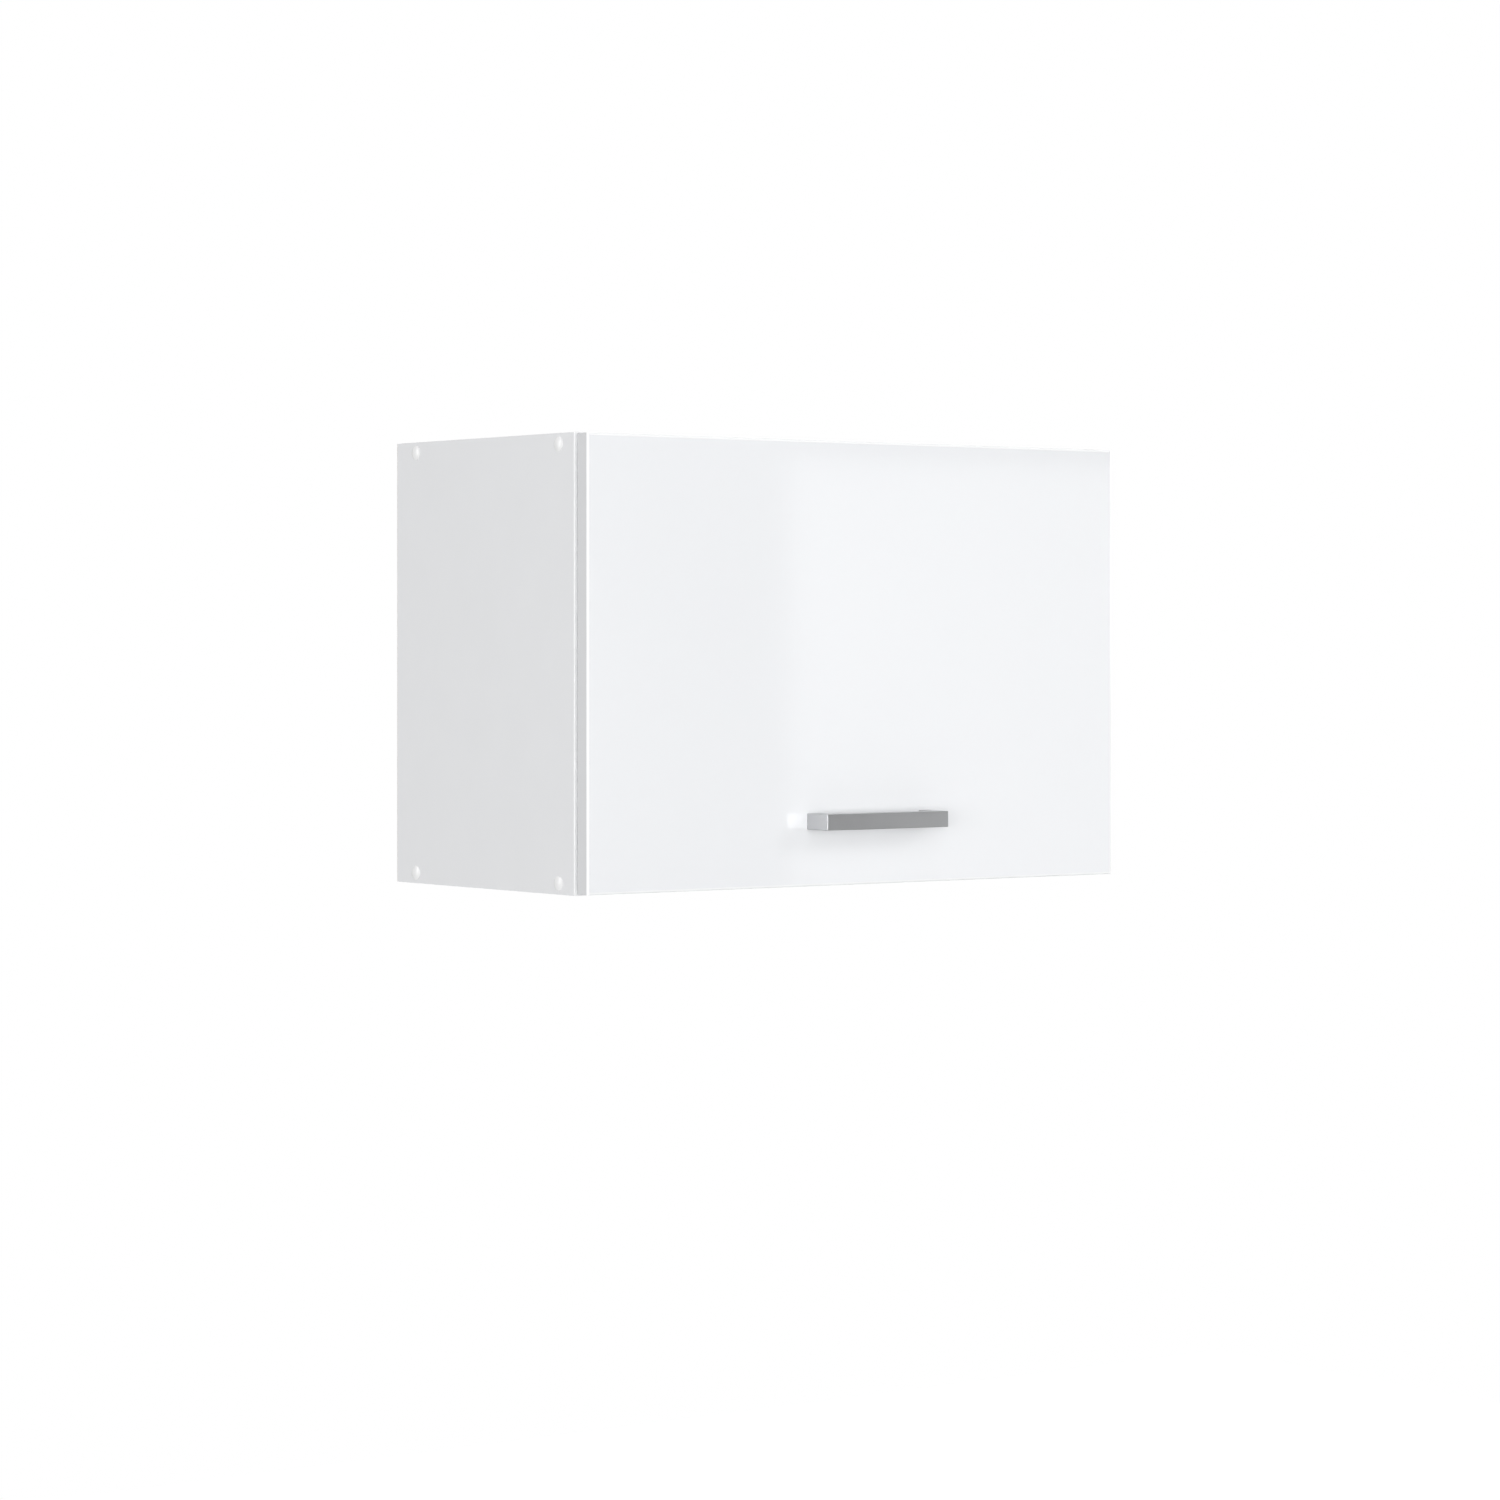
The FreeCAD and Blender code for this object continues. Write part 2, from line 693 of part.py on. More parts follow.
def make_hook(name, sign):
    """The steel hook: a tongue through the back panel with its tip turned down behind the lip."""
    owner = new_body(f"hanger_hook_{name}")
    tongue = back_front - dim("hook_inner_reach")
    tip_front = -dim("wall_plate_step_out") + dim("hook_tip_clearance")
    tip_rear = tip_front + dim("hook_thickness")
    tip_low = step_height + dim("hook_tip_clearance")
    corners = [(tongue, hook_low), (tongue, hook_high), (tip_rear, hook_high),
               (tip_rear, tip_low), (tip_front, tip_low), (tip_front, hook_low)]
    half = dim("hook_width") / 2
    prism(owner, "X", corners, ((hook_centre - half) * sign, (hook_centre + half) * sign))


def make_hanger_screws():
    owner = new_body("hanger_adjusting_screws")
    head = hanger_front + dim("hanger_screw_sink")
    tip = head + dim("hanger_screw_length") - slip
    for _, sign in SIDES:
        places = [(hanger_screw_x * sign, z) for z in hanger_screw_z]
        rounds(owner, "Y", places, dim("hanger_screw_radius"), (head, tip))
        cross_recesses(owner, "Y", places, dim("hanger_screw_recess_reach"), head,
                       head + dim("recess_depth"))
    fixing = new_body("hanger_fixing_screws")
    inner = inner_half - dim("hanger_width")
    neck = inner + dim("hanger_fixing_head_height")
    end = inner_half + dim("hanger_fixing_length")
    for _, sign in SIDES:
        screw_heads(fixing, "X", hanger_fixing_places(), dim("hanger_fixing_head_radius"),
                    neck * sign, inner * sign)
        rounds(fixing, "X", hanger_fixing_places(), dim("hanger_fixing_radius"),
               (neck * sign, end * sign))
        cross_recesses(fixing, "X", hanger_fixing_places(),
                       dim("hanger_fixing_radius") - dim("recess_rim"),
                       inner * sign, (inner + dim("recess_depth")) * sign)


def make_wall_plate(name, sign):
    """A pressed steel plate for the wall, with a stepped lip that carries the hook."""
    half = dim("wall_plate_width") / 2
    centre = inner_half - dim("wall_plate_side_gap") - half
    owner = new_body(f"wall_plate_{name}", x=centre * sign)
    thick = dim("wall_plate_thickness")
    out = dim("wall_plate_step_out")
    low = -(dim("wall_screw_spacing_z") / 2 + dim("wall_hole_radius") + dim("wall_plate_lower_margin"))
    corners = [(ZERO, low), (ZERO, step_height), (-out, step_height), (-out, hook_low),
               (-out - thick, hook_low), (-out - thick, step_height - thick),
               (-thick, step_height - thick), (-thick, low)]
    prism(owner, "X", corners, (-half, half))
    places = [(ZERO, dim("wall_screw_spacing_z") / 2 * way) for way in (-1, 1)]
    rounds(owner, "Y", places, dim("wall_hole_radius"), (-thick, ZERO), kind="Pocket")


# Door

def make_door():
    owner = new_body("door_panel", y=door_back)
    band_out = dim("door_band_thickness")
    thick = dim("door_thickness")
    block(owner, (-(door_half - band_out), door_half - band_out), (-thick, ZERO),
          (door_bottom + band_out, door_top - band_out))
    cups = [(hinge_x * sign, cup_z) for _, sign in SIDES]
    rounds(owner, "Y", cups, dim("cup_radius") + slip, (-dim("cup_depth"), ZERO), kind="Pocket")
    rounds(owner, "Y", cup_screw_places(), dim("cup_screw_radius") + slip / 2,
           (-cup_screw_bite, ZERO), kind="Pocket")
    rounds(owner, "Y", handle_screw_places(), dim("handle_screw_radius") + slip,
           (-thick, ZERO), kind="Pocket")
    rounds(owner, "Y", bracket_screw_places(), dim("stay_screw_radius") + slip / 2,
           (-(bracket_screw_bite + slip), ZERO), kind="Pocket")


def make_door_band(label, xs, zs, along, outer):
    """A door edge band: both of its outer long edges are rounded."""
    owner = new_body(label, y=door_back)
    block(owner, xs, (-dim("door_thickness"), ZERO), zs)
    round_edges(owner, dim("door_band_round"), lambda edge: runs_along(edge, along) and outer(edge))


def make_door_bands():
    band_in = door_half - dim("door_band_thickness")
    for name, sign in SIDES:
        make_door_band(f"door_edge_band_{name}", (band_in * sign, door_half * sign),
                       (door_bottom, door_top), 2,
                       lambda edge, side=sign: near(edge.CenterOfMass.x, door_half * side))
    make_door_band("door_edge_band_top", (-band_in, band_in),
                   (door_top - dim("door_band_thickness"), door_top), 0,
                   lambda edge: near(edge.CenterOfMass.z, door_top))
    make_door_band("door_edge_band_bottom", (-band_in, band_in),
                   (door_bottom, door_bottom + dim("door_band_thickness")), 0,
                   lambda edge: near(edge.CenterOfMass.z, door_bottom))


handle_z = bottom + dim("handle_centre_height")
handle_x = dim("handle_side_offset")


def handle_screw_places():
    return [(handle_x + dim("handle_hole_pitch") / 2 * way, handle_z) for way in (-1, 1)]


def make_handle():
    owner = new_body("handle", x=handle_x, y=door_face, z=handle_z)
    half = (dim("handle_hole_pitch") + dim("handle_leg_width")) / 2
    reach = dim("handle_projection")
    tall = dim("handle_height") / 2
    block(owner, (-half, half), (-reach, ZERO), (-tall, tall))
    gap_half = half - dim("handle_leg_width")
    gap_front = -(reach - dim("handle_bar_depth"))
    block(owner, (-gap_half, gap_half), (gap_front, ZERO), (-tall, tall), kind="Pocket")
    round_edges(owner, dim("handle_inner_round"),
                lambda edge: runs_along(edge, 2) and near(edge.CenterOfMass.y, gap_front))
    round_edges(owner, dim("handle_edge_round"),
                lambda edge: near(edge.CenterOfMass.y, -reach)
                or (runs_along(edge, 1) and near(abs(edge.CenterOfMass.x), half)))
    places = [(dim("handle_hole_pitch") / 2 * way, ZERO) for way in (-1, 1)]
    rounds(owner, "Y", places, dim("handle_screw_radius") + slip / 2,
           (-(dim("handle_screw_bite") + slip), ZERO), kind="Pocket")


def make_handle_screws():
    owner = new_body("handle_screws", y=door_back)
    tip = -(dim("door_thickness") + dim("handle_screw_bite"))
    face = dim("handle_screw_head_height")
    screw_heads(owner, "Y", handle_screw_places(), dim("handle_screw_head_radius"), ZERO, face)
    rounds(owner, "Y", handle_screw_places(), dim("handle_screw_radius"), (tip, ZERO))
    cross_recesses(owner, "Y", handle_screw_places(), dim("handle_screw_radius") - dim("recess_rim"),
                   face, face - dim("recess_depth"))


# Cup hinges, drawn about the door's axis

cup_drop = dim("cup_wall_above_axis") - dim("cup_radius")
cup_z = axis_z + cup_drop
cup_wing_reach = dim("cup_radius") + dim("cup_wing_offset")
under_top_z = under_top - axis_z
opening = dim("door_opening_angle")
plate_screw_y = front + dim("plate_screw_inset")
plate_screw_bite = dim("plate_screw_length") - dim("plate_wing_thickness")
cup_screw_bite = dim("cup_screw_length")
layer_edge = dim("hinge_half_width")
layer_wall = layer_edge - dim("hinge_ear_thickness")
layer_link = layer_wall - dim("hinge_link_play")
layer_middle = dim("hinge_ear_thickness") / 2 + dim("hinge_link_play")


def cup_screw_places():
    return [((hinge_x + cup_wing_reach * way) * sign, cup_z - dim("cup_wing_drop"))
            for _, sign in SIDES for way in (-1, 1)]


def link_points(kind):
    """A hinge link's base pin, elbow and cup pin, as Y and Z from the door's axis.

    The base pin lies on the line that halves the cup pin's sweep,
    so the link has one length with the door shut and fully open.
    """
    angle = -dim(f"{kind}_link_angle")
    arm = dim(f"{kind}_link_arm")
    reach = dim(f"{kind}_link_base")
    middle = angle - opening / 2
    cup_pin = (arm * cosine(angle), arm * sine(angle))
    base_pin = (reach * cosine(middle), reach * sine(middle))
    across, up = cup_pin[0] - base_pin[0], cup_pin[1] - base_pin[1]
    span = length_of(across, up)
    along = dim(f"{kind}_link_elbow_along")
    out = dim(f"{kind}_link_elbow_out")
    elbow = (base_pin[0] + across * along / span - up * out / span,
             base_pin[1] + up * along / span + across * out / span)
    slot = dim(f"{kind}_link_slot")
    slot_end = (cup_pin[0] - across * slot / span, cup_pin[1] - up * slot / span)
    return base_pin, elbow, cup_pin, slot_end


def make_hinge_link(kind, name, sign, layer):
    owner = new_body(f"hinge_{kind}_link_{name}", x=hinge_x * sign, y=axis_y, z=axis_z)
    base_pin, elbow, cup_pin, slot_end = link_points(kind)
    slot_radius = dim("link_pin_radius") + dim("link_tip_play")
    tip_radius = slot_radius + dim("link_tip_rim")
    strip(owner, "X", [base_pin, elbow, slot_end], dim("link_half_width"), layer)
    strip(owner, "X", [slot_end, cup_pin], tip_radius, layer)
    rounds(owner, "X", [base_pin], dim("link_base_eye"), layer)
    rounds(owner, "X", [base_pin], dim("base_pin_radius") + dim("running_play"), layer, kind="Pocket")
    strip(owner, "X", [slot_end, cup_pin], slot_radius, layer, kind="Pocket")


def make_hinge_cup(name, sign):
    owner = new_body(f"hinge_cup_{name}", x=hinge_x * sign, y=axis_y, z=axis_z)
    face = door_back_y
    flange = face + dim("cup_flange_thickness")
    floor = face - dim("cup_depth") + slip
    centre = (ZERO, cup_drop)
    wing = cup_wing_reach
    wing_z = cup_drop - dim("cup_wing_drop")
    rounds(owner, "Y", [centre], dim("cup_radius"), (floor, flange))
    rounds(owner, "Y", [centre], dim("cup_radius") + dim("cup_rim_width"), (face, flange))
    strip(owner, "Y", [(-wing, wing_z), (wing, wing_z)], dim("cup_wing_radius"), (face, flange))
    hollow = dim("cup_radius") - dim("cup_wall")
    hollow_floor = floor + dim("cup_wall")
    rounds(owner, "Y", [centre], hollow, (hollow_floor, flange), kind="Pocket")
    rounds(owner, "Y", [(-wing, wing_z), (wing, wing_z)], dim("cup_screw_radius") + slip,
           (face, flange), kind="Pocket")
    ear_top = cup_drop + leg_of(dim("cup_radius"), layer_edge) - slip
    ear_low = ear_top - dim("cup_ear_height")
    ear_end = hollow_floor + dim("cup_ear_reach")
    half = dim("hinge_ear_thickness") / 2
    for xs in ((-layer_edge, -layer_wall), (-half, half), (layer_wall, layer_edge)):
        block(owner, xs, (hollow_floor, ear_end), (ear_low, ear_top))
    for kind, xs in (("outer", (-layer_wall, -half)), ("inner", (half, layer_wall))):
        cup_pin = link_points(kind)[2]
        rounds(owner, "X", [cup_pin], dim("link_pin_radius"), xs)


def make_hinge_arm(name, sign):
    """A channel under its mounting plate, with a nose of two walls that reaches into the cup."""
    owner = new_body(f"hinge_arm_{name}", x=hinge_x * sign, y=axis_y, z=axis_z)
    rear = axis_forward + dim("arm_rear_inset")
    begin = axis_forward + dim("arm_front_inset")
    low = under_top_z - dim("arm_height")
    wall = dim("arm_wall")
    roof = under_top_z - dim("plate_thickness") / 2
    outer_wall = layer_edge + wall
    block(owner, (-outer_wall, outer_wall), (begin, rear), (low, low + wall))
    for side in (-1, 1):
        block(owner, (layer_edge * side, outer_wall * side), (begin, rear), (low + wall, roof))
    places = [(ZERO, axis_forward + dim("arm_fixing_inset")),
              (ZERO, axis_forward + dim("arm_adjusting_inset"))]
    rounds(owner, "Z", places, dim("arm_screw_radius") + slip, (low, low + wall), kind="Pocket")
    nose = dim("arm_nose_radius")
    root = (begin + nose, low + nose)
    base_pins = [link_points(kind)[0] for kind in ("inner", "outer")]
    for side in (-1, 1):
        layer = (layer_wall * side, (layer_edge + wall / 2) * side)
        strip(owner, "X", [base_pins[0], base_pins[1], root], nose, layer)
    half = dim("hinge_ear_thickness") / 2
    strip(owner, "X", [base_pins[0], base_pins[1], root], dim("link_base_eye"), (-half, half))
    for base_pin, side in zip(base_pins, (1, -1)):
        rounds(owner, "X", [base_pin], dim("base_pin_radius"), (half * side, layer_wall * side))


def make_hinge_plate(name, sign):
    owner = new_body(f"hinge_plate_{name}", x=hinge_x * sign, y=front, z=under_top)
    half = layer_edge - dim("hinge_link_play")
    thick = dim("plate_thickness")
    block(owner, (-half, half), (dim("plate_front_inset"), dim("plate_rear_inset")), (-thick, ZERO))
    reach = dim("plate_wing_reach")
    across = dim("plate_screw_inset")
    wing_thick = dim("plate_wing_thickness")
    wing_low = -wing_thick
    places = [(-reach, across), (reach, across)]
    strip(owner, "Z", places, dim("plate_wing_radius"), (wing_low, ZERO))
    rounds(owner, "Z", places, dim("cup_screw_radius") + slip, (wing_low, ZERO), kind="Pocket")
    arm_places = [(ZERO, dim("arm_fixing_inset")), (ZERO, dim("arm_adjusting_inset"))]
    rounds(owner, "Z", arm_places, dim("arm_screw_radius") + slip, (-thick, ZERO), kind="Pocket")


def make_hinge_screws():
    plate_screws = new_body("hinge_plate_screws", z=under_top)
    places = [((hinge_x + dim("plate_wing_reach") * way) * sign, plate_screw_y)
              for _, sign in SIDES for way in (-1, 1)]
    seat = -dim("plate_wing_thickness")
    face = seat - dim("hinge_screw_head_height")
    reach = dim("cup_screw_radius") - dim("recess_rim")
    screw_heads(plate_screws, "Z", places, dim("hinge_screw_head_radius"), seat, face)
    rounds(plate_screws, "Z", places, dim("cup_screw_radius"), (seat, plate_screw_bite - slip))
    cross_recesses(plate_screws, "Z", places, reach, face, face + dim("recess_depth"))

    arm_screws = new_body("hinge_arm_screws", y=front, z=under_top)
    places = [(hinge_x * sign, dim(inset)) for _, sign in SIDES
              for inset in ("arm_fixing_inset", "arm_adjusting_inset")]
    seat = -dim("arm_height")
    face = seat - dim("arm_screw_head_height")
    screw_heads(arm_screws, "Z", places, dim("arm_screw_head_radius"), seat, face)
    rounds(arm_screws, "Z", places, dim("arm_screw_radius"), (seat, -slip))
    cross_recesses(arm_screws, "Z", places, dim("arm_screw_radius") - dim("recess_rim"), face,
                   face + dim("recess_depth"))

    cup_screws = new_body("hinge_cup_screws", y=door_back)
    flange = dim("cup_flange_thickness")
    face = flange + dim("hinge_screw_head_height") / 2
    screw_heads(cup_screws, "Y", cup_screw_places(), dim("hinge_screw_head_radius"), flange, face)
    rounds(cup_screws, "Y", cup_screw_places(), dim("cup_screw_radius"),
           (-(cup_screw_bite - slip), flange))
    cross_recesses(cup_screws, "Y", cup_screw_places(), reach, face, face - dim("recess_depth"))


# Spring stays, drawn about the door's axis

def stay_screw_bite():
    return dim("stay_screw_length") - dim("stay_housing_wall") + slip


bracket_screw_bite = dim("stay_screw_length") - dim("bracket_base_thickness")


def make_stay_housing(name, sign):
    owner = new_body(f"stay_housing_{name}", y=axis_y, z=axis_z)
    near_y, far_y, low, high = stay_box()
    wall = dim("stay_housing_wall")
    mouth = inner_half - dim("stay_housing_thickness")
    block(owner, (mouth * sign, inner_half * sign), (near_y, far_y), (low, high))
    round_edges(owner, dim("stay_housing_round"), lambda edge: runs_along(edge, 0))
    block(owner, (mouth * sign, (inner_half - wall) * sign), (near_y + wall, far_y - wall),
          (low + wall, high - wall), kind="Pocket")
    rounds(owner, "X", stay_screw_places(), dim("stay_screw_radius") + slip,
           ((inner_half - wall) * sign, inner_half * sign), kind="Pocket")


def make_stay_cover(name, sign):
    owner = new_body(f"stay_cover_{name}", y=axis_y, z=axis_z)
    near_y, far_y, low, high = stay_box()
    mouth = inner_half - dim("stay_housing_thickness")
    block(owner, (cover_face * sign, mouth * sign), (near_y, far_y), (low, high))
    round_edges(owner, dim("stay_housing_round"), lambda edge: runs_along(edge, 0))
    rounds(owner, "X", [stay_pivot], dim("stay_axle_radius") + dim("stay_axle_play"),
           (cover_face * sign, mouth * sign), kind="Pocket")


def make_stay_arm(name, sign):
    """The lever with its axle, which turns in the housing."""
    owner = new_body(f"stay_arm_{name}", y=axis_y, z=axis_z)
    layer = (arm_inner * sign, arm_outer * sign)
    strip(owner, "X", [stay_pivot, stay_elbow], dim("stay_arm_half_width"), layer)
    rounds(owner, "X", [stay_pivot], dim("stay_hub_radius"), layer)
    axle_end = inner_half - dim("stay_housing_wall") - dim("stay_axle_play")
    rounds(owner, "X", [stay_pivot], dim("stay_axle_radius"), (arm_outer * sign, axle_end * sign))
    rounds(owner, "X", [stay_elbow], dim("stay_pin_radius") + dim("stay_pin_play"), layer,
           kind="Pocket")


def make_stay_link(name, sign):
    """The short link, with a pin that runs in the lever's eye."""
    owner = new_body(f"stay_link_{name}", y=axis_y, z=axis_z)
    layer = (link_inner * sign, link_outer * sign)
    strip(owner, "X", [stay_elbow, stay_door_pin], dim("stay_link_half_width"), layer)
    rounds(owner, "X", [stay_elbow], dim("stay_pin_radius"), (link_outer * sign, arm_outer * sign))
    rounds(owner, "X", [stay_door_pin], dim("stay_pin_radius") + dim("stay_open_pivot_play"), layer,
           kind="Pocket")


def bracket_screw_places():
    centre = axis_z + stay_door_pin[1]
    side = ear_inner - dim("bracket_screw_side")
    return [(side * sign, centre + dim("bracket_screw_spread") * way)
            for _, sign in SIDES for way in (-1, 1)]


def make_stay_bracket(name, sign):
    owner = new_body(f"stay_bracket_{name}", y=axis_y, z=axis_z)
    face = door_back_y
    base = face + dim("bracket_base_thickness")
    half = dim("bracket_height") / 2
    block(owner, ((ear_outer - dim("bracket_width")) * sign, ear_outer * sign), (face, base),
          (stay_door_pin[1] - half, stay_door_pin[1] + half))
    screw_places = [(x, z - axis_z) for x, z in bracket_screw_places() if x.number * sign > 0]
    rounds(owner, "Y", screw_places, dim("stay_screw_radius") + slip, (face, base), kind="Pocket")
    ear = (ear_inner * sign, ear_outer * sign)
    radius = dim("bracket_ear_radius")
    rounds(owner, "X", [stay_door_pin], radius, ear)
    block(owner, ear, (face, stay_door_pin[0]),
          (stay_door_pin[1] - radius, stay_door_pin[1] + radius))
    rounds(owner, "X", [stay_door_pin], dim("stay_pin_radius"), (ear_outer * sign, link_outer * sign))


def make_stay_spring(name, sign):
    """The coil spring wound about the axle inside the housing."""
    label = f"stay_spring_{name}"
    wire_radius = dim("stay_spring_wire")
    room = dim("stay_housing_thickness") - dim("stay_housing_wall")
    span = room - (wire_radius + dim("stay_axle_play")) * 2
    helix = doc.addObject("Part::Helix", f"{label}_path")
    helix.setExpression("Pitch", (wire_radius * 2 + dim("stay_spring_gap")).text)
    helix.setExpression("Height", span.text)
    helix.setExpression("Radius", spring_radius.text)
    section = doc.addObject("Part::Circle", f"{label}_section")
    section.setExpression("Radius", wire_radius.text)
    section.setExpression("Placement.Base.x", spring_radius.text)
    section.Placement.Rotation = FreeCAD.Rotation(FreeCAD.Vector(1, 0, 0), 90)
    sweep = doc.addObject("Part::Sweep", label)
    sweep.Label = label
    sweep.Sections = [section]
    sweep.Spine = (helix, ["Edge1"])
    sweep.Solid = True
    sweep.Frenet = True
    sweep.Placement.Rotation = FreeCAD.Rotation(FreeCAD.Vector(0, 1, 0), 90 * sign)
    begin = inner_half - dim("stay_housing_thickness") + wire_radius + dim("stay_axle_play")
    sweep.setExpression("Placement.Base.x", (begin * sign).text)
    sweep.setExpression("Placement.Base.y", (axis_y + stay_pivot[0]).text)
    sweep.setExpression("Placement.Base.z", (axis_z + stay_pivot[1]).text)
    subparts.append(sweep)
    doc.recompute()


def make_stay_screws():
    places = [(axis_y + y, axis_z + z) for y, z in stay_screw_places()]
    owner = new_body("stay_housing_screws")
    seat = inner_half - dim("stay_housing_wall")
    head = seat - dim("stay_screw_head_height")
    end = seat + dim("stay_screw_length")
    for _, sign in SIDES:
        rounds(owner, "X", places, dim("stay_screw_head_radius"), (head * sign, seat * sign))
        rounds(owner, "X", places, dim("stay_screw_radius"), (seat * sign, end * sign))

    bracket_screws = new_body("stay_bracket_screws", y=door_back)
    base = dim("bracket_base_thickness")
    face = base + dim("stay_screw_head_height")
    screw_heads(bracket_screws, "Y", bracket_screw_places(), dim("stay_screw_head_radius"), base, face)
    rounds(bracket_screws, "Y", bracket_screw_places(), dim("stay_screw_radius"),
           (-bracket_screw_bite, base))
    cross_recesses(bracket_screws, "Y", bracket_screw_places(),
                   dim("stay_screw_radius") - dim("recess_rim"), face, face - dim("recess_depth"))


def make_all():
    make_carcass()
    make_connectors()
    make_caps()
    make_dowels()
    make_bumpers()
    make_hanger_screws()
    make_door()
    make_door_bands()
    make_handle()
    make_handle_screws()
    make_hinge_screws()
    make_stay_screws()
    for name, sign in SIDES:
        make_hanger(name, sign)
        make_hook(name, sign)
        make_wall_plate(name, sign)
        make_hinge_plate(name, sign)
        make_hinge_arm(name, sign)
        make_hinge_cup(name, sign)
        make_hinge_link("outer", name, sign, (-layer_link, -layer_middle))
        make_hinge_link("inner", name, sign, (layer_middle, layer_link))
        make_stay_housing(name, sign)
        make_stay_cover(name, sign)
        make_stay_spring(name, sign)
        make_stay_arm(name, sign)
        make_stay_link(name, sign)
        make_stay_bracket(name, sign)


def check_and_write():
    doc.recompute()
    for item in doc.Objects:
        if "Invalid" in item.State or "Error" in item.State:
            raise RuntimeError(f"{item.Label}: {item.State}")
    os.makedirs("parts", exist_ok=True)
    for item in subparts:
        if item.Shape.isNull() or not item.Shape.isValid() or not item.Shape.Solids:
            raise RuntimeError(f"{item.Label} has no valid solid")
    for item in subparts:
        item.Shape.exportStep(f"parts/{item.Label}.step")
    print(len(subparts), "sub-parts written")


make_all()
check_and_write()
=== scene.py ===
import math

import bpy
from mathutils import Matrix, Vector


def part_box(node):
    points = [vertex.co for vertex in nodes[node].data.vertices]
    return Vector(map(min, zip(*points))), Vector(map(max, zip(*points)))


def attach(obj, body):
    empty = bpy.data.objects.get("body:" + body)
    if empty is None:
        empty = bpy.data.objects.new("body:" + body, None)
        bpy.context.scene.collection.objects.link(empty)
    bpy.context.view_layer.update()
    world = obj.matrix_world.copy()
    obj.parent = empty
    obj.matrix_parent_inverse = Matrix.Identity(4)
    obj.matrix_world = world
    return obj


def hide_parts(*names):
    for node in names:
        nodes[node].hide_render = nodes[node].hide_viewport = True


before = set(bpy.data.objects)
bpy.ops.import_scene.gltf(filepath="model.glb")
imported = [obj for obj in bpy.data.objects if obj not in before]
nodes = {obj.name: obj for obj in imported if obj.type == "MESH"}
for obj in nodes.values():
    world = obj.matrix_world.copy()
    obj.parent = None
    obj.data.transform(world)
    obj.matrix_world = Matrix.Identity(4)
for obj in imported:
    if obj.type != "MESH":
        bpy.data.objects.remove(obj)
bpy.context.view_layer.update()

# A white wall cabinet with a high-gloss lift-up door. Metres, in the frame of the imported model:
# X to the right, Y towards the wall, Z up, with the origin on the wall.

MM = 0.001

# Camera: level, to the left of the cabinet and in front of it

CAMERA_PLACE = (-2.4698, -3.4545, -0.1157)
CAMERA_YAW = -36.665
CAMERA_LENS = 106.81
CAMERA_SENSOR = 36.0
CAMERA_SHIFT_UP = -0.0723


def make_camera():
    data = bpy.data.cameras.new("camera")
    data.lens = CAMERA_LENS
    data.sensor_width = CAMERA_SENSOR
    data.shift_y = CAMERA_SHIFT_UP
    data.dof.use_dof = False
    camera = bpy.data.objects.new("camera", data)
    camera.location = CAMERA_PLACE
    camera.rotation_euler = (math.pi / 2, 0, math.radians(CAMERA_YAW))
    bpy.context.scene.collection.objects.link(camera)
    bpy.context.scene.camera = camera


# Node materials

BEVEL_SAMPLES = 4


def socket(sockets, identifier):
    return next(item for item in sockets if item.identifier == identifier)


def shaded(colour, share):
    return tuple(part * share for part in colour)


